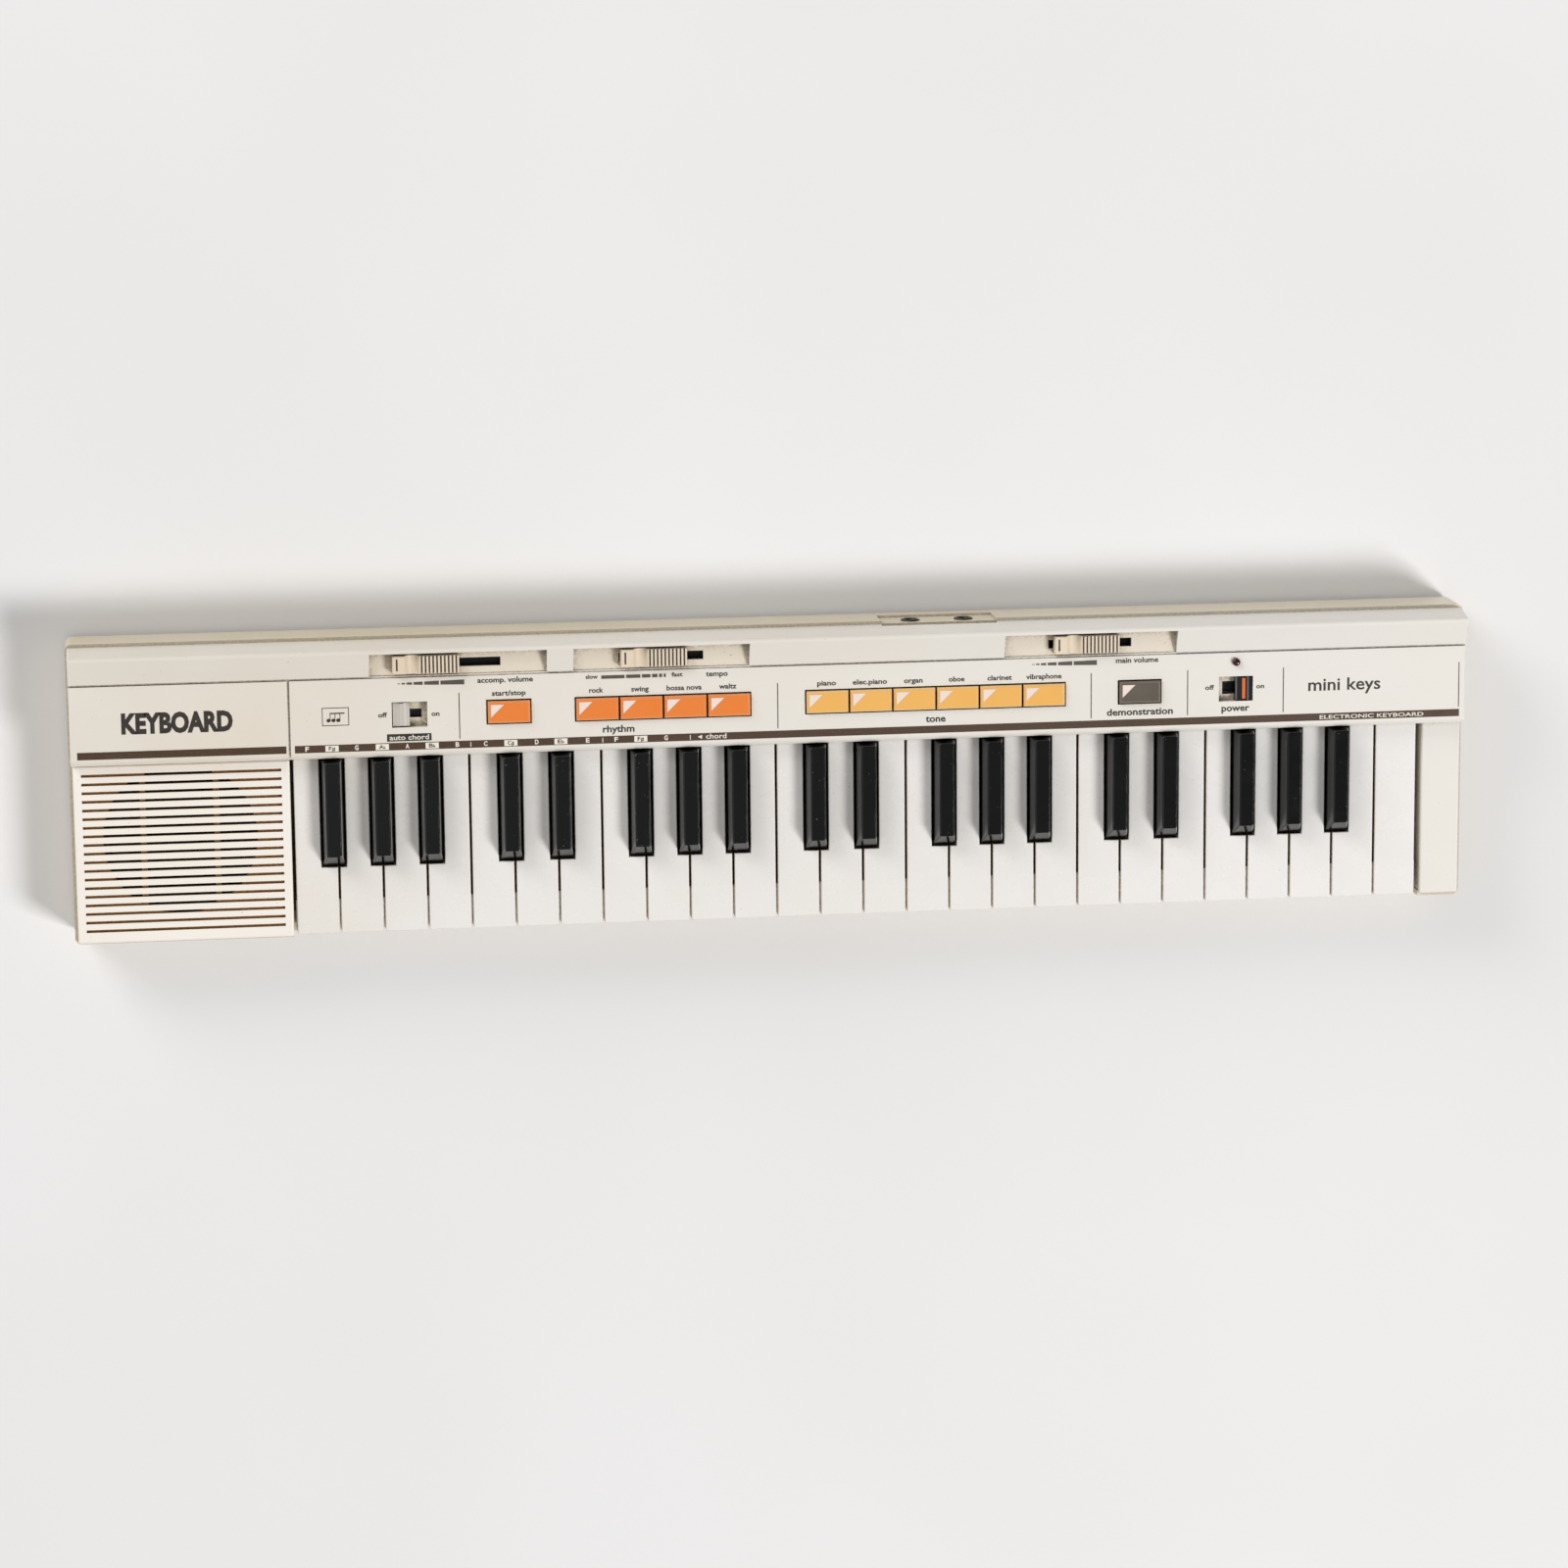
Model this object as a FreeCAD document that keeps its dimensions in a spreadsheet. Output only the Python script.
import FreeCAD, Part
import os
import re
import Sketcher
from FreeCAD import Rotation, Vector

os.makedirs("parts", exist_ok=True)
doc = FreeCAD.newDocument("mini_keyboard")

# Driving dimensions in millimetres, one alias each. Every piece stands square to the case, so no angle is needed.
SIZES = {
    # keys
    "key_pitch": 17.9, "key_gap": 0.9, "key_length": 73.0, "key_stand": 2.0, "key_drop": 9.4,
    "key_skin": 2.0, "key_side": 1.5, "key_round": 0.5, "skirt_long": 14.0, "skirt_drop": 0.9, "skirt_gap": 0.3,
    "arm_width": 6.0, "arm_drop": 5.0, "arm_thick": 4.0,
    "black_width": 9.4, "black_crown": 6.0, "black_rise": 8.0, "black_length": 47.0, "black_nose": 5.3,
    "black_back": 1.0, "black_gap": 0.4, "black_rear_gap": 0.8, "black_round": 0.7, "black_arm": 4.0,
    "bar_depth": 3.0,
    # pivot rod of the keys
    "rod_radius": 1.5, "rod_play": 0.05, "hook_radius": 3.0, "rod_drop": 2.6, "rod_inset": 12.4,
    # case
    "bay_width": 89.2, "cheek_gap": 2.1, "cheek_width": 17.1, "front_edge": 1.3, "panel_depth": 32.9,
    "ridge_depth": 11.7, "rear_edge": 4.0, "wall": 2.2, "foot_height": 2.0, "foot_radius": 6.5,
    "tray_height": 22.0, "panel_rise": 6.4, "crest_rise": 11.0, "side_inset": 0.8, "rear_inset": 1.3,
    "rail_drop": 4.2, "rail_depth": 8.3, "corner_round": 2.5, "lip_round": 2.6, "crest_round": 1.4,
    "lip_clear": 0.8, "panel_groove": 0.9, "groove_left": 1.3, "groove_deep": 0.7, "seam_play": 0.1,
    "rail_left": 1.1, "rail_right": 0.4,
    # speaker
    "grille_rise": 1.5, "grille_gap": 0.5, "slot_wide": 1.15, "slot_pitch": 3.55, "slot_deep": 1.3,
    "slot_margin": 3.4, "speaker_radius": 31.0, "speaker_right": 44.6, "speaker_front": 43.0,
    "grille_rib": 2.3, "rib_spread": 29.5, "flange_wide": 2.5,
    # buttons
    "button_gap": 0.76, "button_depth": 9.0, "button_rise": 1.6, "button_travel": 1.5, "button_front": 12.9,
    "opening_play": 0.4, "button_play": 0.6, "button_bevel": 0.8, "flange_thick": 1.0, "flange_reach": 1.1,
    "pin_radius": 1.5, "pin_play": 0.1,
    # slide controls
    "recess_wide": 71.6, "recess_deep": 9.5, "recess_floor": 5.2, "slot_long": 34.5, "slot_high": 3.6,
    "knob_long": 27.0, "knob_deep": 7.6, "knob_high": 3.9, "knob_lift": 0.3, "stem_long": 8.0, "stem_wide": 2.8,
    "rib_pitch": 1.55, "rib_gap": 0.7, "rib_deep": 0.55, "pot_long": 60.0, "pot_wide": 9.0, "pot_high": 7.0,
    "switch_long": 14.3, "switch_deep": 10.4, "switch_cap": 6.8, "switch_well": 3.5, "switch_sink": 0.4,
    "switch_ridge": 1.3, "switch_play": 0.3,
    # electronics and power
    "board_thick": 1.6, "board_drop": 7.8, "switch_pad": 5.6, "contact_pad": 4.0, "led_radius": 1.5,
    "lamp_back": 28.6, "lamp_stand": 0.9,
    "jack_recess": 1.0, "jack_wide": 47.6, "jack_apart": 22.0, "jack_hole": 3.3, "jack_drop": 6.0, "jack_body": 12.0,
    "cell_radius": 7.25, "cell_long": 50.5, "bay_play": 1.0, "bay_wall": 1.5, "cover_thick": 1.2,
    "cover_travel": 8.0, "cover_lap": 1.5, "cover_play": 0.3, "leaf_thick": 0.6,
    "screw_radius": 1.5, "screw_head": 2.8, "head_high": 1.6, "boss_radius": 3.4, "boss_gap": 0.2,
    "drive_wide": 0.6, "screw_inset": 9.0, "screw_rear": 9.5, "foot_inset": 24.0, "foot_depth": 14.0,
}
WHITE_NOTES = "FGABCDE" * 3 + "FGABC"
WHITE_COUNT = len(WHITE_NOTES)
CELL_COUNT = 4
SLOT_COUNT = 19
RIB_COUNT = 11

# Places worked out from the sheet: the origin is on the floor below the middle of the case.
DERIVED = {
    "case_width": f"bay_width + {WHITE_COUNT} * key_pitch + cheek_gap + cheek_width",
    "case_depth": "front_edge + key_length + panel_depth + ridge_depth + rear_edge",
    "case_left": "-(case_width) / 2", "case_right": "(case_width) / 2",
    "case_front": "-(case_depth) / 2", "case_rear": "(case_depth) / 2",
    "row_left": "case_left + bay_width", "row_right": f"row_left + {WHITE_COUNT} * key_pitch",
    "cheek_left": "row_right + cheek_gap",
    "key_front": "case_front + front_edge", "lip": "key_front + key_length", "ridge": "lip + panel_depth",
    "crest": "ridge + ridge_depth", "upper_rear": "case_rear - rear_inset",
    "floor_top": "foot_height + wall", "rim": "foot_height + tray_height", "key_top": "rim + key_stand",
    "arm_top": "key_top - arm_drop", "rod_height": "arm_top - rod_drop", "rail_height": "key_bottom - rail_drop",
    "jack_height": "rim - jack_drop",
    "panel_top": "key_top + panel_rise", "panel_under": "panel_top - wall", "crest_top": "key_top + crest_rise",
    "lip_bottom": "key_top + lip_clear", "key_bottom": "key_top - key_drop",
    "black_rear": "lip + wall - black_gap", "black_heel": "lip - black_gap",
    "black_front": "black_rear - black_length",
    "tail_rear": "lip + wall + black_gap", "rod_y": "ridge - rod_inset",
    "board_top": "panel_top - board_drop", "button_y": "lip + button_front",
    "button_from": "button_y", "button_to": "button_y + button_depth", "button_mid": "button_y + button_depth / 2",
    "recess_front": "ridge + opening_play", "recess_rear": "recess_front + recess_deep",
    "recess_base": "key_top + recess_floor", "slot_mid": "(recess_front + recess_rear) / 2",
    "lamp_y": "lip + lamp_back", "switch_floor": "panel_top - switch_well",
    "switch_travel": "switch_long - switch_cap - 2 * opening_play",
    "frame_top": "floor_top + seam_play + wall",
    "contact_base": "frame_top + (rail_height - frame_top) * 0.34",
    "slider_room": "(slot_long - stem_long) / 2 - 1.5 * seam_play",
    "pot_top": "recess_base - wall + board_thick / 4", "speaker_x": "row_left - speaker_right - 1",
    "speaker_y": "case_front + speaker_front", "grille_top": "key_top + grille_rise",
    "jack_x": "row_left + 14.8 * key_pitch", "bay_long": f"{CELL_COUNT} * cell_long + 8 * bay_play",
    "cell_left": "row_left + key_pitch", "cell_rear": "case_rear - wall - bay_wall",
    "cell_front": "cell_rear - 2 * cell_radius - bay_play", "cell_top": "floor_top + 2 * cell_radius",
}


def expr(text):
    """Spell a formula with the sheet's cells, putting worked-out places in as formulas of their own."""
    def cell(match):
        name = match.group(0)
        return f"({expr(DERIVED[name])})" if name in DERIVED else f"Dims.{name}"
    return re.sub(r"[a-z][a-z_]+", cell, text)


sheet = doc.addObject("Spreadsheet::Sheet", "Dims")
for row, (alias, size) in enumerate(SIZES.items(), start=1):
    sheet.set(f"A{row}", alias.replace("_", " "))
    sheet.set(f"B{row}", str(size))
    sheet.setAlias(f"B{row}", alias)
doc.recompute()
nodes = []


def node(shape, label):
    """Name a finished sub-part and keep it for the export."""
    shape.Label = label
    nodes.append(shape)
    return shape


def bind(item, **formulas):
    for name, text in formulas.items():
        item.setExpression(name, expr(text))
    return item


def place(item, x="0", y="0", z="0"):
    for axis, text in zip("xyz", (x, y, z)):
        item.setExpression(f"Placement.Base.{axis}", expr(text))
    return item


def box(name, x, y, z):
    """A block between two planes along each axis."""
    item = doc.addObject("Part::Box", name)
    bind(item, Length=f"({x[1]}) - ({x[0]})", Width=f"({y[1]}) - ({y[0]})", Height=f"({z[1]}) - ({z[0]})")
    return place(item, x[0], y[0], z[0])


def rod(name, radius, start, length, along="Z"):
    """A cylinder that starts at a point and runs along one axis."""
    item = doc.addObject("Part::Cylinder", name)
    item.Placement.Rotation = Rotation(Vector(0, 0, 1), {"X": Vector(1, 0, 0), "Y": Vector(0, 1, 0),
                                                        "Z": Vector(0, 0, 1)}[along])
    bind(item, Radius=radius, Height=length)
    return place(item, *start)


def fused(name, pieces):
    item = doc.addObject("Part::MultiFuse", name)
    item.Shapes = pieces
    return item


def group(name, pieces):
    """Separate solids that share one node."""
    item = doc.addObject("Part::Compound", name)
    item.Links = pieces
    return item


def cut(name, base, tools):
    item = doc.addObject("Part::Cut", name)
    item.Base = base
    item.Tool = tools[0] if len(tools) == 1 else fused(f"{name}_tools", tools)
    return item


def new_body(name):
    return doc.addObject("PartDesign::Body", name)


def new_sketch(body, plane, offset):
    item = body.newObject("Sketcher::SketchObject", "Sketch")
    support = next(feature for feature in body.Origin.OriginFeatures if feature.Role == plane)
    item.AttachmentSupport = [(support, "")]
    item.MapMode = "FlatFace"
    item.setExpression("AttachmentOffset.Base.z", expr(offset))
    return item


def pin(item, formula_x, formula_y, geometry, corner):
    """Hold one sketch point by its two distances from the origin."""
    for kind, text in (("DistanceX", formula_x), ("DistanceY", formula_y)):
        index = item.addConstraint(Sketcher.Constraint(kind, -1, 1, geometry, corner, 1.0))
        item.setExpression(f"Constraints[{index}]", expr(text))


def polygon(body, plane, corners, offset="0"):
    """A closed outline whose corners are formulas of the sheet."""
    item = new_sketch(body, plane, offset)
    turn = Rotation(Vector(0, 0, 1), 360 / len(corners))
    spoke = Vector(10, 0, 0)
    lines = []
    for corner in corners:
        following = turn.multVec(spoke)
        lines.append(item.addGeometry(Part.LineSegment(spoke, following), False))
        spoke = following
    for here, after in zip(lines, lines[1:] + lines[:1]):
        item.addConstraint(Sketcher.Constraint("Coincident", here, 2, after, 1))
    for line, (across, up) in zip(lines, corners):
        pin(item, across, up, line, 1)
    return item


def rectangle(body, plane, across, up, offset="0"):
    return polygon(body, plane, [(across[0], up[0]), (across[1], up[0]), (across[1], up[1]), (across[0], up[1])],
                   offset)


def circle(body, plane, radius, centre, offset="0"):
    item = new_sketch(body, plane, offset)
    ring = item.addGeometry(Part.Circle(Vector(1, 1, 0), Vector(0, 0, 1), 1.0), False)
    size = item.addConstraint(Sketcher.Constraint("Radius", ring, 1.0))
    item.setExpression(f"Constraints[{size}]", expr(radius))
    pin(item, centre[0], centre[1], ring, 3)
    return item


def feature(body, kind, profile, length):
    item = body.newObject(f"PartDesign::{kind}", kind)
    item.Profile = profile
    return bind(item, Length=length)


def pad(body, profile, length):
    return feature(body, "Pad", profile, length)


def pocket(body, profile, length, forward=False):
    """Cut from the sketch against its plane's normal, or along it when forward."""
    item = feature(body, "Pocket", profile, length)
    item.Reversed = forward
    return item


def edges(shape, test):
    return [f"Edge{count}" for count, edge in enumerate(shape.Edges, start=1) if test(edge)]


def level(edge, height):
    """Whether both ends of an edge lie at one height."""
    return all(abs(corner.Z - height) < 1e-4 for corner in edge.Vertexes)


def upright(edge):
    ends = edge.Vertexes
    return len(ends) == 2 and abs(ends[0].X - ends[1].X) < 1e-4 and abs(ends[0].Y - ends[1].Y) < 1e-4


def rounded(body, radius, test, kind="Fillet"):
    """Round or bevel the edges of the body's newest feature that pass a test."""
    doc.recompute()
    base = body.Tip
    item = body.newObject(f"PartDesign::{kind}", kind)
    item.Base = (base, edges(base.Shape, test))
    return bind(item, **{"Radius" if kind == "Fillet" else "Size": radius})


def size_of(text):
    """The present value of a formula, read back from a scratch property."""
    probe.setExpression("Length", expr(text))
    probe.recompute()
    return probe.Length.Value


probe = doc.addObject("Part::Box", "probe")

# Where the black keys stand: after which white key, and how far they lean off the gap.
BLACK_LEAN = {"F": -2.0, "G": 0.0, "A": 2.0, "C": -1.5, "D": 1.5}
blacks = [(count, BLACK_LEAN[note]) for count, note in enumerate(WHITE_NOTES[:-1]) if note in BLACK_LEAN]


def hook(body, across, width):
    """The clip that snaps over the pivot rod, open below."""
    pad(body, circle(body, "YZ_Plane", "hook_radius", ("rod_y", "rod_height"), across), width)


def hook_bore(body, across, width):
    pocket(body, circle(body, "YZ_Plane", "rod_radius + rod_play", ("rod_y", "rod_height"), across), width, True)
    mouth = rectangle(body, "YZ_Plane", ("rod_y - rod_radius * 0.8", "rod_y + rod_radius * 0.8"),
                      ("rod_height - hook_radius - 1", "rod_height"), across)
    pocket(body, mouth, width, True)


def white_key(count, note):
    """One white key: a hollow cap with a wider front skirt, notches for its black neighbours and an arm to the rod."""
    body = new_body(f"white_{count}")
    leans = dict(blacks)
    width = "key_pitch - key_gap"
    outline = rectangle(body, "YZ_Plane", ("key_front", "tail_rear"), ("key_bottom", "key_top"), "key_gap / 2")
    pad(body, outline, width)
    skirt = rectangle(body, "YZ_Plane", ("key_front + key_side", "key_front + skirt_long"),
                      ("key_bottom", "key_top - skirt_drop"), "skirt_gap / 2")
    pad(body, skirt, "key_pitch - skirt_gap")
    left, right = "key_gap / 2", "key_pitch - key_gap / 2"
    if count - 1 in leans:
        left = f"black_width / 2 + black_gap + ({leans[count - 1]})"
        notch = rectangle(body, "XY_Plane", ("0", left), ("black_front - black_gap", "tail_rear + 1"), "key_top + 1")
        pocket(body, notch, "key_drop + 2")
    if count in leans:
        right = f"key_pitch - black_width / 2 - black_gap + ({leans[count]})"
        notch = rectangle(body, "XY_Plane", (right, "key_pitch"), ("black_front - black_gap", "tail_rear + 1"),
                          "key_top + 1")
        pocket(body, notch, "key_drop + 2")
    top = size_of("key_top")
    front = size_of("key_front")
    rounded(body, "key_round", lambda edge: level(edge, top) or
            (upright(edge) and abs(edge.Vertexes[0].Y - front) < 1e-4))
    hollow = rectangle(body, "XY_Plane", ("key_gap / 2 + key_side", "key_pitch - key_gap / 2 - key_side"),
                       ("key_front + key_side", "black_front - black_gap - key_side"), "key_bottom")
    pocket(body, hollow, "key_drop - key_skin", True)
    middle = f"(({left}) + ({right})) / 2 - arm_width / 2"
    arm = rectangle(body, "YZ_Plane", ("tail_rear - 3 * key_side", "rod_y"), ("arm_top - arm_thick", "arm_top"), middle)
    pad(body, arm, "arm_width")
    hook(body, middle, "arm_width")
    hook_bore(body, middle, "arm_width")
    place(body, f"row_left + {count} * key_pitch")
    return node(body, f"white_key_{count + 1:02d}_{note.lower()}")


def black_key(count, lean):
    """One black key of a comb: a tapered cap on a block that runs below the lip, and an arm past the rod."""
    body = new_body(f"black_{count}")
    half = "black_width / 2"
    cap = body.newObject("PartDesign::AdditiveWedge", "Cap")
    cap.Placement.Rotation = Rotation(Vector(1, 0, 0), 90)
    bind(cap, Xmin=f"-{half}", Xmax=half, Ymin="key_top - 1", Ymax="key_top + black_rise", Zmin="-(black_heel)",
         Zmax="-(black_front)", X2min="-black_crown / 2", X2max="black_crown / 2", Z2min="-(black_heel - black_back)",
         Z2max="-(black_front + black_nose)")
    base_level = size_of("key_top - 1")
    rounded(body, "black_round", lambda edge: not level(edge, base_level))
    block = rectangle(body, "XY_Plane", (f"-{half}", half), ("black_front", "black_rear"), "arm_top - arm_thick")
    pad(body, block, "key_top - 1 - arm_top + arm_thick")
    arm = rectangle(body, "YZ_Plane", ("black_rear - 1", "rod_y + hook_radius + black_rear_gap + bar_depth / 2"),
                    ("arm_top - arm_thick", "arm_top"), "-black_arm / 2")
    pad(body, arm, "black_arm")
    hook(body, "-black_arm / 2", "black_arm")
    hook_bore(body, "-black_arm / 2", "black_arm")
    return place(body, f"row_left + {count + 1} * key_pitch + ({lean})")


def black_comb(number, members):
    """The black keys of one octave, moulded on one bar behind the rod."""
    first, last = members[0], members[-1]
    bar = box(f"bar_{number}",
              (f"row_left + {first[0] + 1} * key_pitch + ({first[1]}) - black_arm / 2",
               f"row_left + {last[0] + 1} * key_pitch + ({last[1]}) + black_arm / 2"),
              ("rod_y + hook_radius + black_rear_gap", "rod_y + hook_radius + black_rear_gap + bar_depth"),
              ("arm_top - arm_thick", "arm_top"))
    keys = [black_key(count, lean) for count, lean in members]
    node(fused(f"comb_{number}", keys + [bar]), f"black_keys_octave_{number}")


for count, note in enumerate(WHITE_NOTES):
    white_key(count, note)
for number in range(1, 5):
    black_comb(number, blacks[(number - 1) * 5:number * 5])

# Controls on the panel: name and centre, counted in key pitches from the left end of the key row.
BUTTONS = [("start_stop_button", 4.9)]
BUTTONS += [(f"rhythm_button_{count + 1}", 6.9 + count) for count in range(4)]
BUTTONS += [(f"tone_button_{count + 1}", 12.15 + count) for count in range(6)]
BUTTONS += [("demonstration_button", 19.38)]
BUTTON_OPENINGS = [(4.9, 1), (6.9, 4), (12.15, 6), (19.38, 1)]
# Sliders: name, centre in pitches, place of the resting knob as a share of the room on either side.
SLIDERS = [("accompaniment_volume_knob", 3.77, -0.997), ("tempo_knob", 8.37, -0.246),
           ("main_volume_knob", 18.23, -0.137)]
# Switches: name, centre in pitches, end where the cap rests, depth of the slot in the tray.
POWER = 21.63
SWITCHES = [("chord_switch_knob", 2.66, -1, "slot_high"), ("power_switch_knob", POWER, 1, "slot_high * 1.5")]


def along(pitches):
    return f"row_left + {pitches} * key_pitch"


def push_button(name, pitches):
    """A bevelled cap with a holding flange under the panel and a pin to its contact."""
    body = new_body(name)
    half = "(key_pitch - button_gap) / 2"
    cap = rectangle(body, "XY_Plane", (f"-{half}", half), ("button_from", "button_to"),
                    "panel_under - button_travel / 5 - flange_thick")
    pad(body, cap, "wall + button_rise + button_travel / 5 + flange_thick")
    top = size_of("panel_top + button_rise")
    rounded(body, "button_bevel", lambda edge: level(edge, top), "Chamfer")
    top_bevel = size_of("panel_top + button_rise")
    rounded(body, "button_bevel / 4", lambda edge: level(edge, top_bevel))
    lip_under = rectangle(body, "XY_Plane", (f"-{half}", half),
                          ("button_from - flange_reach", "button_to + flange_reach"),
                          "panel_under - button_travel / 5 - flange_thick")
    pad(body, lip_under, "flange_thick")
    pin_foot = "board_top + switch_pad / 4 + button_travel + pin_play"
    stem = circle(body, "XY_Plane", "pin_radius", ("0", "button_mid"), pin_foot)
    pad(body, stem, f"panel_under - flange_thick - ({pin_foot})")
    return node(place(body, along(pitches)), name)


def slider_knob(name, centre, rest):
    """A long cap with a finger dip, a ribbed grip and a stem down into its control."""
    body = new_body(name)
    rear = "-(slot_mid + knob_deep / 2)"
    high = "recess_base + knob_lift + knob_high"
    profile = rectangle(body, "XZ_Plane", ("-knob_long / 2", "knob_long / 2"), ("recess_base + knob_lift", high), rear)
    pad(body, profile, "knob_deep")
    top = size_of(high)
    rounded(body, "rib_gap", lambda edge: upright(edge) or level(edge, top))
    dip = circle(body, "XZ_Plane", "knob_high * 0.8",
                 ("-knob_long / 2 + knob_long * 0.3", f"{high} + knob_high * 0.25"),
                 rear)
    pocket(body, dip, "knob_deep", True)
    groove = rectangle(body, "XZ_Plane", ("knob_long / 2 - rib_pitch", "knob_long / 2 - rib_pitch + rib_gap"),
                       (f"{high} - rib_deep", f"{high} + 1"), rear)
    first = pocket(body, groove, "knob_deep", True)
    grooves = body.newObject("PartDesign::LinearPattern", "Ribs")
    grooves.Originals = [first]
    grooves.Direction = (groove, ["H_Axis"])
    grooves.Reversed = True
    grooves.Occurrences = RIB_COUNT
    bind(grooves, Length=f"{RIB_COUNT - 1} * rib_pitch")
    body.Tip = grooves
    stem = rectangle(body, "XY_Plane", ("-stem_long / 2", "stem_long / 2"),
                     ("slot_mid - stem_wide / 2", "slot_mid + stem_wide / 2"), "pot_top - pot_high / 2")
    pad(body, stem, "recess_base + knob_lift - pot_top + pot_high / 2")
    return node(place(body, f"{along(centre)} + ({rest}) * (slider_room)"), name)


def switch_knob(name, pitches, side):
    """A small slide switch cap with a ridge between two finger dips, resting at one end of its opening."""
    body = new_body(name)
    low, high = "switch_floor + switch_play", "panel_top - switch_sink"
    deep = "switch_deep - 2 * opening_play"
    front, rear = f"button_mid - ({deep}) / 2", f"button_mid + ({deep}) / 2"
    cap = rectangle(body, "XY_Plane", ("-switch_cap / 2", "switch_cap / 2"), (front, rear), low)
    pad(body, cap, f"({high}) - ({low})")
    top = size_of(high)
    rounded(body, "key_round", lambda edge: level(edge, top))
    for sign in ("-", ""):
        dip = circle(body, "XZ_Plane", "switch_cap * 0.45",
                     (f"{sign}(switch_ridge / 2 + switch_cap * 0.27)", f"{high} + switch_cap * 0.36"), f"-({rear})")
        pocket(body, dip, deep, True)
    stem = rectangle(body, "XY_Plane", ("-stem_wide / 2", "stem_wide / 2"),
                     ("button_mid - stem_wide / 2", "button_mid + stem_wide / 2"), "board_top + pot_high / 4")
    pad(body, stem, f"{low} - board_top - pot_high / 4")
    return node(place(body, f"{along(pitches)} + ({side}) * (switch_travel) / 2"), name)


for name, pitches in BUTTONS:
    push_button(name, pitches)
for name, centre, rest in SLIDERS:
    slider_knob(name, centre, rest)
for name, pitches, side, _ in SWITCHES:
    switch_knob(name, pitches, side)

# Screws come up from below: how far across and how deep each one stands.
REAR_SCREWS = "case_left + screw_inset", *(along(pitches) for pitches in (0.3, 13.3, 21.3)), "case_right - screw_inset"
SCREWS = [(across, "case_rear - screw_rear") for across in REAR_SCREWS]
SCREWS += [("(cheek_left + case_right) / 2 + side_inset / 2", "case_front + foot_depth")]
GRILLE_SCREWS = [(across, "case_front + screw_rear + wall / 4") for across in
                 ("case_left + screw_inset", "row_left - screw_inset - wall / 4")]
SPLIT = "foot_height + tray_height / 2"


def boss(name, spot, low, high):
    """A plain screw post; its way or pilot hole is cut once the case is whole."""
    return rod(f"{name}_post", "boss_radius", (*spot, low), f"({high}) - ({low})")


def upper_shell():
    """Panel, slider ridge and rear wall as one profile, hollow below."""
    body = new_body("upper_shell")
    outline = polygon(body, "YZ_Plane", [
        ("lip", "lip_bottom"), ("lip", "panel_top"), ("ridge", "panel_top"), ("crest", "crest_top"),
        ("upper_rear", "rim"), ("lip + wall * 1.5", "rim"),
        ("lip + wall * 1.5", "lip_bottom")], "case_left + side_inset")
    pad(body, outline, "case_width - 2 * side_inset")
    lip, crest, lip_top = size_of("lip"), size_of("crest_top"), size_of("panel_top")
    rear_low = size_of("rim")
    left, right = size_of("case_left + side_inset"), size_of("case_right - side_inset")

    def at_side(edge):
        return any(all(abs(corner.X - side) < 1e-4 for corner in edge.Vertexes) for side in (left, right))

    rounded(body, "crest_round", lambda edge: level(edge, crest) and not at_side(edge))
    rounded(body, "lip_round", lambda edge: level(edge, lip_top) and not at_side(edge) and
            all(abs(corner.Y - lip) < 1e-4 for corner in edge.Vertexes))
    rounded(body, "key_round", lambda edge: at_side(edge) and not level(edge, rear_low) and
            edge.BoundBox.ZMax > lip_top - 0.01 and edge.BoundBox.ZMin > lip_top - size_of("lip_round") - 0.01)
    inside = polygon(body, "YZ_Plane", [
        ("lip + wall", "rim - 1"), ("lip + wall", "panel_under"), ("ridge", "panel_under"),
        ("crest", "crest_top - wall"), ("upper_rear - wall - (crest_rise / tray_height)", "crest_top - wall * 1.5"),
        ("upper_rear - wall", "rim - 1")], "case_left + side_inset + wall")
    pocket(body, inside, "case_width - 2 * side_inset - 2 * wall", True)
    return body


def cheek_cap():
    """The block to the right of the keys, a cap with its inner wall."""
    body = new_body("cheek")
    right = "case_right - side_inset"
    plan = rectangle(body, "XY_Plane", ("cheek_left", right), ("key_front", "lip + wall * 2"), "rail_height")
    pad(body, plan, "key_top - rail_height")
    top, front = size_of("key_top"), size_of("key_front")
    rounded(body, "key_round * 1.6", lambda edge: (level(edge, top) or upright(edge)) and
            edge.BoundBox.YMin < front + 1e-3 or (level(edge, top) and abs(edge.Vertexes[0].Y - edge.Vertexes[1].Y) > 1))
    below = rectangle(body, "XY_Plane", ("cheek_left + wall", f"{right} + 1"), ("key_front - 1", "lip + wall * 2 + 1"),
                      "rail_height - 1")
    pocket(body, below, "rim - rail_height + 1", True)
    behind_front = rectangle(body, "XY_Plane", ("cheek_left - 1", f"{right} + 1"),
                             ("key_front - 1", "case_front + wall + seam_play"), "rail_height - 1")
    pocket(body, behind_front, "rim - rail_height + 1", True)
    skirt = rectangle(body, "XY_Plane", ("cheek_left + wall", right), ("key_front + wall", "lip"), "rim - 0.01")
    pocket(body, skirt, "key_top - rim - wall / 2", True)
    return body


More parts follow.
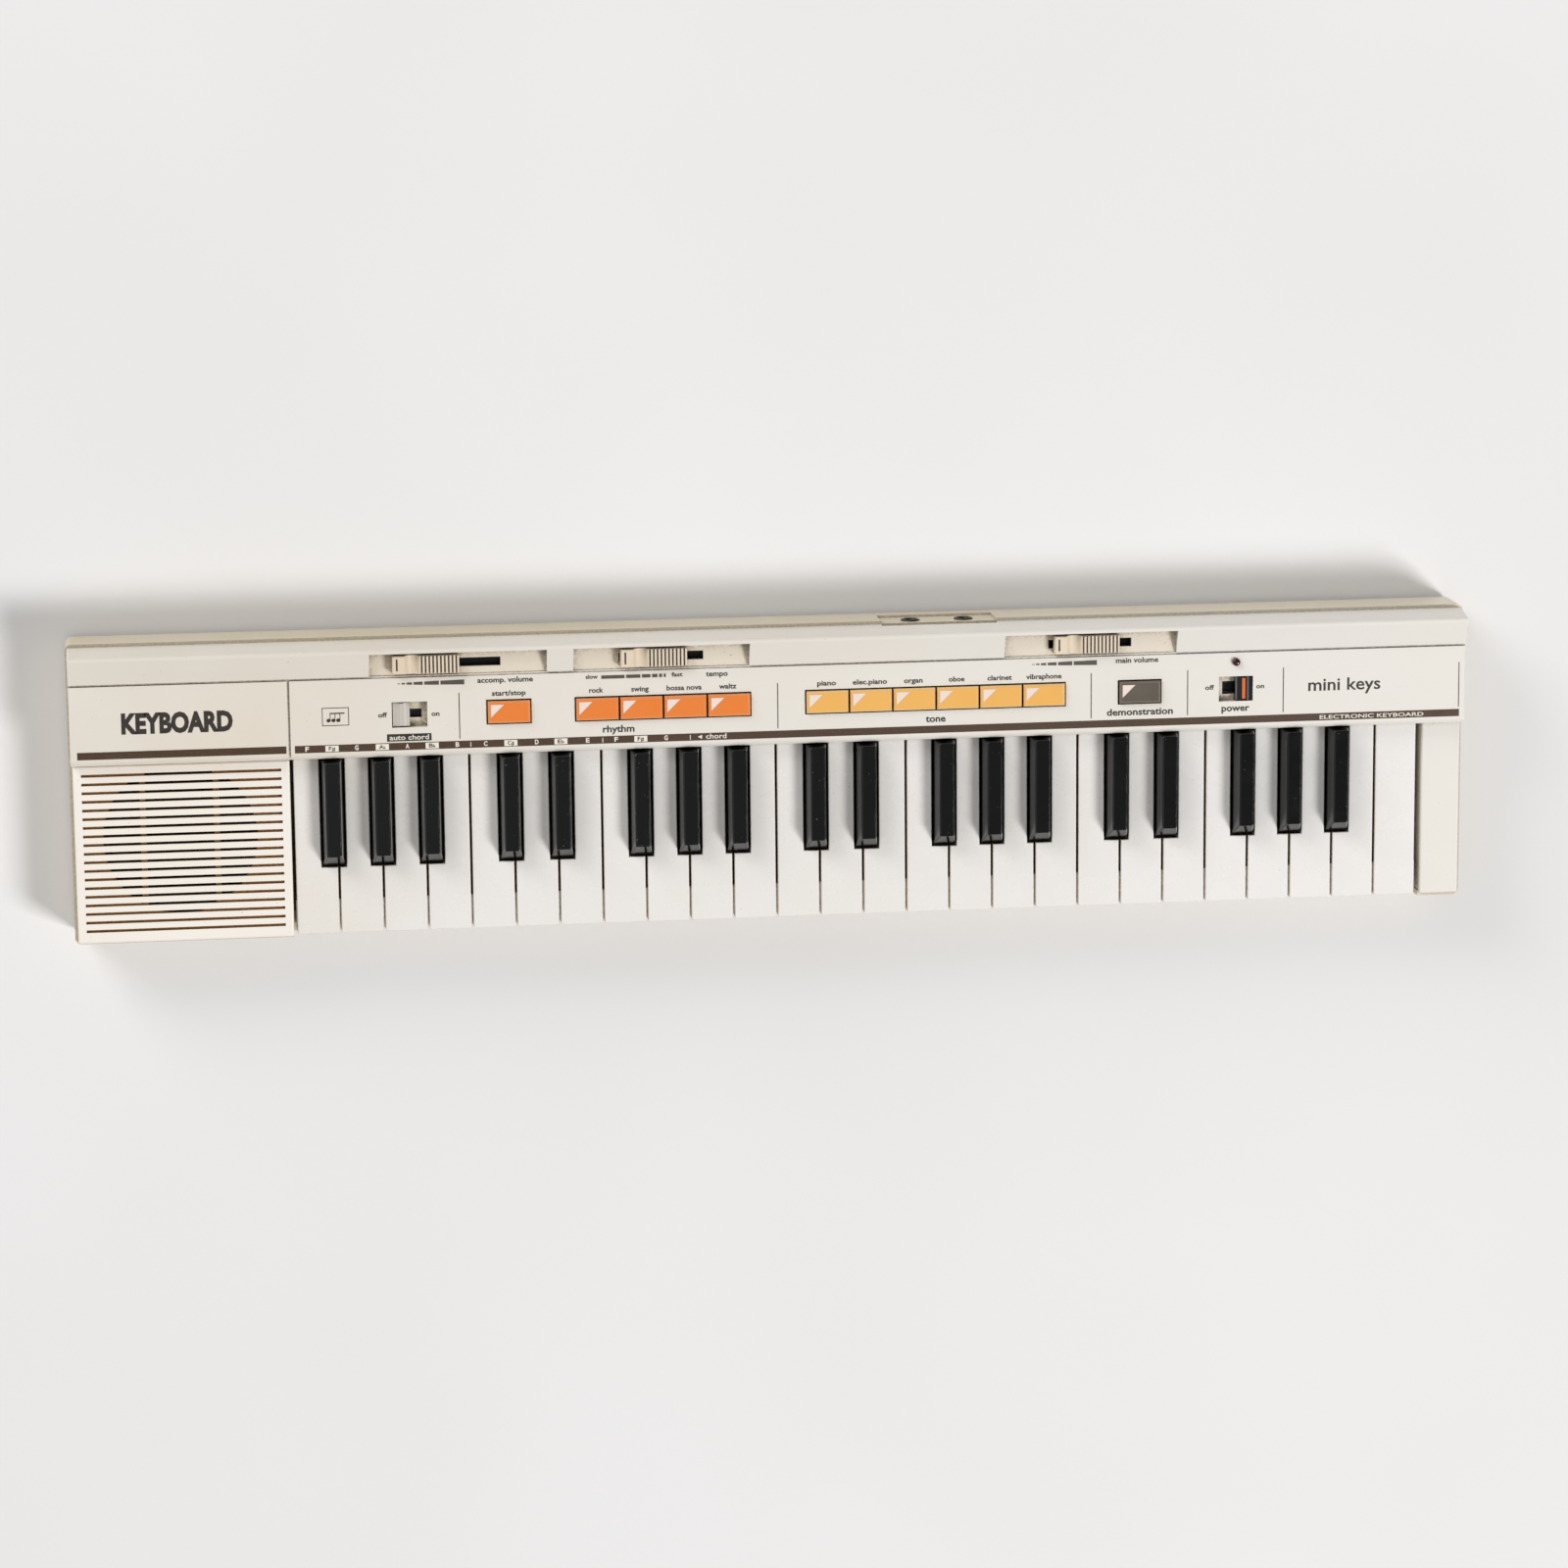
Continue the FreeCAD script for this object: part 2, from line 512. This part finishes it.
def upper_case():
    """The upper shell with its trays and bosses, opened for keys, buttons, switches and sliders."""
    solids = [upper_shell(), cheek_cap(),
              box("cheek_bridge", ("cheek_left", "case_right - side_inset - 0.1"), ("lip + 0.1", "lip + wall"),
                  ("key_top - wall / 2", "panel_under"))]
    tools = []
    for count, (_, centre, _) in enumerate(SLIDERS):
        middle = along(centre)
        left, right = f"{middle} - recess_wide / 2", f"{middle} + recess_wide / 2"
        solids.append(box(f"tray_{count}", (f"{left} - wall", f"{right} + wall"),
                          ("ridge - wall", "crest - side_inset"), ("recess_base - wall + 0.6", "panel_top")))
        tools.append(box(f"recess_{count}", (left, right), ("recess_front", "recess_rear"),
                         ("recess_base", "crest_top + 1")))
        tools.append(box(f"slot_{count}", (f"{middle} - slot_long / 2", f"{middle} + slot_long / 2"),
                         ("slot_mid - slot_high / 2", "slot_mid + slot_high / 2"),
                         ("recess_base - 2 * wall", "crest_top")))
    for count, (first, many) in enumerate(BUTTON_OPENINGS):
        reach = "(key_pitch - button_gap) / 2 + button_play"
        tools.append(box(f"opening_{count}", (f"{along(first)} - ({reach})", f"{along(first + many - 1)} + {reach}"),
                         ("button_from - button_play", "button_to + button_play"),
                         ("panel_under - 1", "panel_top + 1")))
    for name, centre, _, slot in SWITCHES:
        middle = along(centre)
        wide = "(switch_long + wall) / 2"
        solids.append(box(f"{name}_tray", (f"{middle} - {wide}", f"{middle} + {wide}"),
                          ("button_mid - (switch_deep + wall) / 2", "button_mid + (switch_deep + wall) / 2"),
                          ("switch_floor - wall / 2", "panel_top - wall / 2")))
        tools.append(box(f"{name}_opening", (f"{middle} - switch_long / 2", f"{middle} + switch_long / 2"),
                         ("button_mid - switch_deep / 2", "button_mid + switch_deep / 2"),
                         ("switch_floor", "panel_top + 1")))
        reach = "((switch_travel + stem_wide) / 2 + switch_play)"
        tools.append(box(f"{name}_slot", (f"{middle} - {reach}", f"{middle} + {reach}"),
                         (f"button_mid - {slot} / 2", f"button_mid + {slot} / 2"),
                         ("switch_floor - wall", "switch_floor + 1")))
    tools.append(box("step_groove", ("case_left", "case_right"),
                     ("ridge - panel_groove / 2", "ridge + panel_groove / 2"),
                     ("panel_top - groove_deep", "panel_top + groove_deep / 2")))
    tools.append(box("panel_groove", ("row_left - groove_left", "row_left - groove_left + panel_groove"),
                     ("lip - 1", "ridge"),
                     ("panel_top - groove_deep", "panel_top + 1")))
    tools.append(rod("led_hole", "led_radius + seam_play", (along(POWER), "lamp_y", "panel_under - 1"), "wall + 2"))
    tools.append(box("jack_recess_upper", ("jack_x - jack_wide / 2", "jack_x + jack_wide / 2"),
                     ("upper_rear - jack_recess", "case_rear + 1"), ("rim - 1", "rim + 2")))
    for count, spot in enumerate(SCREWS):
        last = count == len(SCREWS) - 1
        end = "key_top - wall / 4" if last else "panel_top + wall / 4"
        solids.append(boss(f"upper_boss_{count}", spot, f"{SPLIT} + boss_gap", end))
        tools.append(rod(f"upper_pilot_{count}", "screw_radius", (*spot, SPLIT), "tray_height / 4 + 1"))
    return node(cut("upper_case", fused("upper_solids", solids), tools), "upper_case")


def lower_shell():
    body = new_body("lower_shell")
    plan = rectangle(body, "XY_Plane", ("case_left", "case_right"), ("case_front", "case_rear"), "foot_height")
    pad(body, plan, "tray_height")
    rounded(body, "corner_round", upright)
    base = size_of("foot_height")
    rounded(body, "corner_round / 2", lambda edge: abs(edge.BoundBox.ZMax - base) < 1e-3)
    inside = rectangle(body, "XY_Plane", ("case_left + wall", "case_right - wall"),
                       ("case_front + wall", "case_rear - wall"), "floor_top")
    pocket(body, inside, "tray_height", True)
    return body


def lower_case():
    """The tray: floor, walls, key rail, battery bay, screw posts and rear socket recess."""
    bay_left, bay_right = "cell_left", "cell_left + bay_long"
    solids = [lower_shell(),
              box("key_rail", ("row_left - rail_left", "cheek_left - rail_right"),
                  ("case_front + wall / 2", "case_front + rail_depth"),
                  ("rail_height - wall", "rail_height")),
              box("bay_walls", (f"{bay_left} - bay_wall", f"{bay_right} + bay_wall"),
                  ("cell_front - bay_wall", "case_rear - wall / 2"), ("foot_height + wall / 2", "cell_top + bay_wall"))]
    tools = [box("key_window", ("row_left - rail_left", "cheek_left - rail_right"),
                 ("case_front - 1", "case_front + wall"),
                 ("rail_height", "rim + 1")),
             box("bay_hollow", (bay_left, bay_right), ("cell_front", "cell_rear"), ("foot_height - 1", "cell_top")),
             box("cover_track", (f"{bay_left} - cover_lap - cover_play", f"{bay_right} + cover_lap + cover_play"),
                 ("cell_front - cover_lap - cover_play - cover_travel", "cell_rear + cover_play"),
                 ("foot_height - 1", "foot_height + cover_thick + cover_play / 2")),
             box("jack_recess", ("jack_x - jack_wide / 2", "jack_x + jack_wide / 2"),
                 ("case_rear - jack_recess", "case_rear + 1"), ("jack_height - jack_body * 0.7", "rim + 1"))]
    for count, side in enumerate(("-", "+")):
        tools.append(rod(f"jack_hole_{count}", "jack_hole",
                         (f"jack_x {side} jack_apart / 2", "case_rear - wall - 1", "jack_height"),
                         "wall + 2", "Y"))
    for count, spot in enumerate(SCREWS + GRILLE_SCREWS):
        solids.append(boss(f"lower_boss_{count}", spot, "foot_height + wall / 2", SPLIT))
        tools.append(rod(f"screw_way_{count}", "screw_radius + opening_play", (*spot, "foot_height - 1"),
                         "tray_height"))
        tools.append(rod(f"head_way_{count}", "screw_head + opening_play", (*spot, "foot_height - 1"),
                         "1 + head_high + boss_gap"))
    return node(cut("lower_case", fused("lower_solids", solids), tools), "lower_case")


def speaker_grille():
    """The slotted cover: shallow slots that open only over the speaker, ribs across, and a skirt."""
    body = new_body("grille_plate")
    left, right = "case_left + side_inset + grille_gap", "row_left - 1"
    front, rear = "key_front - grille_gap", "lip - grille_gap"
    plan = rectangle(body, "XY_Plane", (left, right), (front, rear), "rim + seam_play")
    pad(body, plan, "grille_top - rim - seam_play")
    top = size_of("grille_top")
    rounded(body, "key_round * 2", lambda edge: level(edge, top) or upright(edge))
    slot = rectangle(body, "XY_Plane", (f"{left} + slot_margin", f"{right} - slot_margin"),
                     (f"{rear} - slot_margin - slot_wide", f"{rear} - slot_margin"), "grille_top")
    first = pocket(body, slot, "slot_deep")
    slots = body.newObject("PartDesign::LinearPattern", "Slots")
    slots.Originals = [first]
    slots.Direction = (slot, ["V_Axis"])
    slots.Reversed = True
    slots.Occurrences = SLOT_COUNT
    bind(slots, Length=f"{SLOT_COUNT - 1} * slot_pitch")
    body.Tip = slots
    ribs = [box(f"grille_rib_{count}", (f"speaker_x + ({side}) * rib_spread / 2 - grille_rib / 2",
                                        f"speaker_x + ({side}) * rib_spread / 2 + grille_rib / 2"),
                (front, rear), ("rim", "grille_top")) for count, side in enumerate((-1, 1))]
    throat = cut("throat", rod("throat_bore", "speaker_radius", ("speaker_x", "speaker_y", "rim - 1"),
                               "grille_top - slot_deep * 0.9 - rim + 1"), ribs)
    skirt = box("grille_skirt", (f"{right} - wall", right), (f"{front} + wall + 1", rear), ("rail_height", "rim + 1"))
    posts = [boss(f"grille_post_{count}", spot, f"{SPLIT} + boss_gap", "rim + 1")
             for count, spot in enumerate(GRILLE_SCREWS)]
    pilots = [rod(f"grille_pilot_{count}", "screw_radius", (*spot, SPLIT), "tray_height / 4 + 1")
              for count, spot in enumerate(GRILLE_SCREWS)]
    return node(cut("speaker_grille", fused("grille_solids", [body, skirt] + posts), [throat] + pilots),
                "speaker_grille")


def loudspeaker():
    """Magnet, basket, cone and dust cap turned about one axis."""
    body = new_body("loudspeaker")
    rim_radius = "speaker_radius + flange_wide"
    profile = polygon(body, "XZ_Plane", [
        ("0", "floor_top + wall"), ("speaker_radius * 0.6", "floor_top + wall"),
        ("speaker_radius * 0.6", "floor_top + wall * 3"), ("speaker_radius * 0.42", "floor_top + wall * 3.2"),
        ("speaker_radius - wall", "rim - wall * 1.5"), (rim_radius, "rim - wall * 1.3"), (rim_radius, "rim - 0.2"),
        ("speaker_radius - wall / 2", "rim - 0.2"), ("speaker_radius * 0.4", "rim - wall * 3.2"),
        ("speaker_radius * 0.36", "rim - wall * 2.9"), ("speaker_radius * 0.2", "rim - wall * 2.4"),
        ("0", "rim - wall * 2.2")])
    turned = body.newObject("PartDesign::Revolution", "Turned")
    turned.Profile = profile
    turned.ReferenceAxis = (profile, ["V_Axis"])
    turned.Angle = 360
    return node(place(body, "speaker_x", "speaker_y"), "loudspeaker")


def key_frame():
    """The chassis under the keys: floor plate, posts at the gaps without a black key, and the pivot rod."""
    gaps = [0] + [count + 1 for count, note in enumerate(WHITE_NOTES[:-1]) if note in "BE"] + [WHITE_COUNT]
    low = "floor_top + seam_play"
    solids = [box("frame_plate", ("row_left + 0.5", "row_right - 0.5"),
                  ("case_front + rail_depth + 1", "rod_y + rod_radius * 1.4"), (low, "frame_top")),
              rod("pivot_rod", "rod_radius", ("row_left + 0.5", "rod_y", "rod_height"), "row_right - row_left - 1", "X")]
    for count in gaps:
        start = {0: "0.5", WHITE_COUNT: "-2"}.get(count, "-black_arm / 4")
        solids.append(box(f"rod_post_{count}", (f"row_left + {count} * key_pitch + ({start})",
                                                f"row_left + {count} * key_pitch + ({start}) + "
                                                f"{'1.5' if count in (0, WHITE_COUNT) else 'black_arm / 2'}"),
                          ("rod_y - rod_radius * 1.4", "rod_y + rod_radius * 1.4"), (low, "rod_height + rod_radius")))
    for count in range(0, WHITE_COUNT + 1, 13):
        spread = {0: "4", WHITE_COUNT: "-4"}.get(count, "0")
        solids.append(box(f"board_rest_{count}", (f"row_left + {count} * key_pitch + ({spread}) - 1.5",
                                                  f"row_left + {count} * key_pitch + ({spread}) + 1.5"),
                          ("case_front + rail_depth + 4", "lip - 20"), (low, "contact_base - seam_play")))
    return node(fused("key_frame", solids), "key_frame")


def contact_board():
    """The board below the keys with one rubber contact for each key."""
    solids = [box("contact_plate", ("row_left + 2", "row_right - 2"), ("case_front + rail_depth + 3", "lip - 18"),
                  ("contact_base", "contact_base + board_thick"))]
    for count in range(WHITE_COUNT):
        solids.append(rod(f"white_dome_{count}", "contact_pad / 2",
                          (f"row_left + {count} * key_pitch + key_pitch / 2", "lip - 52", "contact_base + board_thick / 2"),
                          "contact_pad * 0.7"))
    for count, lean in blacks:
        solids.append(rod(f"black_dome_{count}", "contact_pad / 2",
                          (f"row_left + {count + 1} * key_pitch + ({lean})", "lip - 28", "contact_base + board_thick / 2"),
                          "contact_pad * 0.7"))
    return node(fused("contact_board", solids), "key_contact_board")


def main_board():
    """The board below the panel: contacts under the buttons and the power lamp on its leg."""
    low = "board_top - board_thick"
    solids = [box("main_plate", ("row_left + 4", "row_right - 4"), ("lip + wall + 2", "ridge - wall"), (low, "board_top"))]
    for name, pitches in BUTTONS:
        solids.append(box(f"{name}_contact",
                          (f"{along(pitches)} - switch_pad / 2", f"{along(pitches)} + switch_pad / 2"),
                          ("button_mid - switch_pad / 2", "button_mid + switch_pad / 2"),
                          (low, "board_top + switch_pad / 4")))
    lamp = rod("lamp", "led_radius", (along(POWER), "lamp_y", low), "panel_top + lamp_stand - board_top + board_thick")
    return node(fused("main_board", solids + [lamp]), "main_circuit_board")


def slide_controls():
    """Bodies of the three slide potentiometers and the two slide switches, each with its way for the stem."""
    made = []
    for name, centre, _ in SLIDERS:
        middle = along(centre)
        shell = box(f"{name}_control", (f"{middle} - pot_long / 2", f"{middle} + pot_long / 2"),
                    ("slot_mid - pot_wide / 2", "slot_mid + pot_wide / 2"), ("pot_top - pot_high", "pot_top"))
        way = box(f"{name}_way", (f"{middle} - slot_long / 2 - 0.5", f"{middle} + slot_long / 2 + 0.5"),
                  ("slot_mid - stem_wide / 2 - 0.3", "slot_mid + stem_wide / 2 + 0.3"),
                  ("pot_top - pot_high / 2 - 0.5", "pot_top + 1"))
        made.append(cut(f"{name}_body", shell, [way]))
    for name, centre, _, _ in SWITCHES:
        middle = along(centre)
        reach = "((switch_travel + stem_wide) / 2)"
        shell = box(f"{name}_control", (f"{middle} - {reach} - 1.5", f"{middle} + {reach} + 1.5"),
                    ("button_mid - stem_wide", "button_mid + stem_wide"),
                    ("board_top", "switch_floor - wall / 2 - switch_play"))
        way = box(f"{name}_way", (f"{middle} - {reach} - switch_play", f"{middle} + {reach} + switch_play"),
                  ("button_mid - stem_wide / 2 - switch_play", "button_mid + stem_wide / 2 + switch_play"),
                  ("board_top + pot_high / 4 - 0.5", "switch_floor"))
        made.append(cut(f"{name}_body", shell, [way]))
    return node(group("slide_controls", made), "slide_controls")


def rear_sockets():
    """The power and headphone sockets behind the rear wall, each a block with a collar and a bore."""
    made = []
    front = "case_rear - wall - jack_body"
    for count, side in enumerate(("-", "+")):
        middle = f"jack_x {side} jack_apart / 2"
        block = box(f"socket_block_{count}", (f"{middle} - jack_body / 2", f"{middle} + jack_body / 2"),
                    (front, "case_rear - wall - seam_play"),
                    ("jack_height - jack_body / 2", "jack_height + jack_body * 0.4"))
        collar = rod(f"socket_collar_{count}", "jack_hole - seam_play", (middle, "case_rear - wall - 1", "jack_height"),
                     "wall + 0.6 - jack_recess", "Y")
        bore = rod(f"socket_bore_{count}", "jack_hole * 0.72", (middle, f"{front} + wall", "jack_height"),
                   "jack_body + wall", "Y")
        made.append(cut(f"socket_{count}", fused(f"socket_solid_{count}", [block, collar]), [bore]))
    return node(group("rear_sockets", made), "rear_sockets")


def battery_parts():
    """The sliding hatch below the cells and the two end contacts."""
    bay_left, bay_right = "cell_left", "cell_left + bay_long"
    cover = new_body("battery_cover")
    plan = rectangle(cover, "XY_Plane", (f"{bay_left} - cover_lap", f"{bay_right} + cover_lap"),
                     ("cell_front - cover_lap", "cell_rear"), "foot_height")
    pad(cover, plan, "cover_thick")
    grip = rectangle(cover, "XY_Plane", (f"{bay_left} + bay_long * 0.45", f"{bay_left} + bay_long * 0.55"),
                     ("cell_front + cover_lap", "cell_front + cover_lap + slot_wide"), "foot_height")
    pocket(cover, grip, "cover_thick / 2", True)
    node(cover, "battery_cover")
    middle_y, middle_z = "(cell_front + cell_rear) / 2", "(floor_top + cell_top) / 2"
    made = []
    for count, (plate, spring) in enumerate((((bay_left, f"{bay_left} + leaf_thick"), (f"{bay_left} + leaf_thick / 2", "leaf_thick * 5")),
                                             ((f"{bay_right} - leaf_thick", bay_right),
                                              (f"{bay_right} - leaf_thick * 4", "leaf_thick * 3.5")))):
        leaf = box(f"contact_leaf_{count}", plate, (f"{middle_y} - cell_radius / 2", f"{middle_y} + cell_radius / 2"),
                   (f"{middle_z} - cell_radius / 2", f"{middle_z} + cell_radius / 2"))
        nose = rod(f"contact_nose_{count}", "cell_radius / 4", (spring[0], middle_y, middle_z), spring[1], "X")
        made.append(fused(f"contact_{count}", [leaf, nose]))
    node(group("battery_contacts", made), "battery_contacts")


def fasteners_and_feet():
    made = []
    for count, spot in enumerate(SCREWS + GRILLE_SCREWS):
        head = rod(f"screw_head_{count}", "screw_head", (*spot, "foot_height"), "head_high")
        shank = rod(f"screw_shank_{count}", "screw_radius", (*spot, "foot_height + head_high / 2"), "tray_height * 0.7")
        drive = box(f"screw_drive_{count}", (f"{spot[0]} - screw_radius", f"{spot[0]} + screw_radius"),
                    (f"{spot[1]} - drive_wide / 2", f"{spot[1]} + drive_wide / 2"),
                    ("foot_height - 1", "foot_height + head_high / 2"))
        made.append(cut(f"screw_{count}", fused(f"screw_solid_{count}", [head, shank]), [drive]))
    node(group("case_screws", made), "case_screws")
    feet = []
    for across in ("case_left + foot_inset", "case_right - foot_inset"):
        for deep in ("case_front + foot_depth", "case_rear - foot_depth"):
            feet.append(rod(f"foot_{len(feet)}", "foot_radius", (across, deep, "0"), "foot_height"))
    node(group("rubber_feet", feet), "rubber_feet")


upper_case()
lower_case()
speaker_grille()
loudspeaker()
key_frame()
contact_board()
main_board()
slide_controls()
rear_sockets()
battery_parts()
fasteners_and_feet()
doc.recompute()

for item in doc.Objects:
    if {"Invalid", "Error"} & set(item.State):
        raise RuntimeError(f"{item.Label} didn't build: {item.State}")
for item in nodes:
    if item.Shape.isNull() or not item.Shape.isValid():
        raise RuntimeError(f"{item.Label} has no valid shape")
for item in nodes:
    item.Shape.exportStep(f"parts/{item.Label}.step")
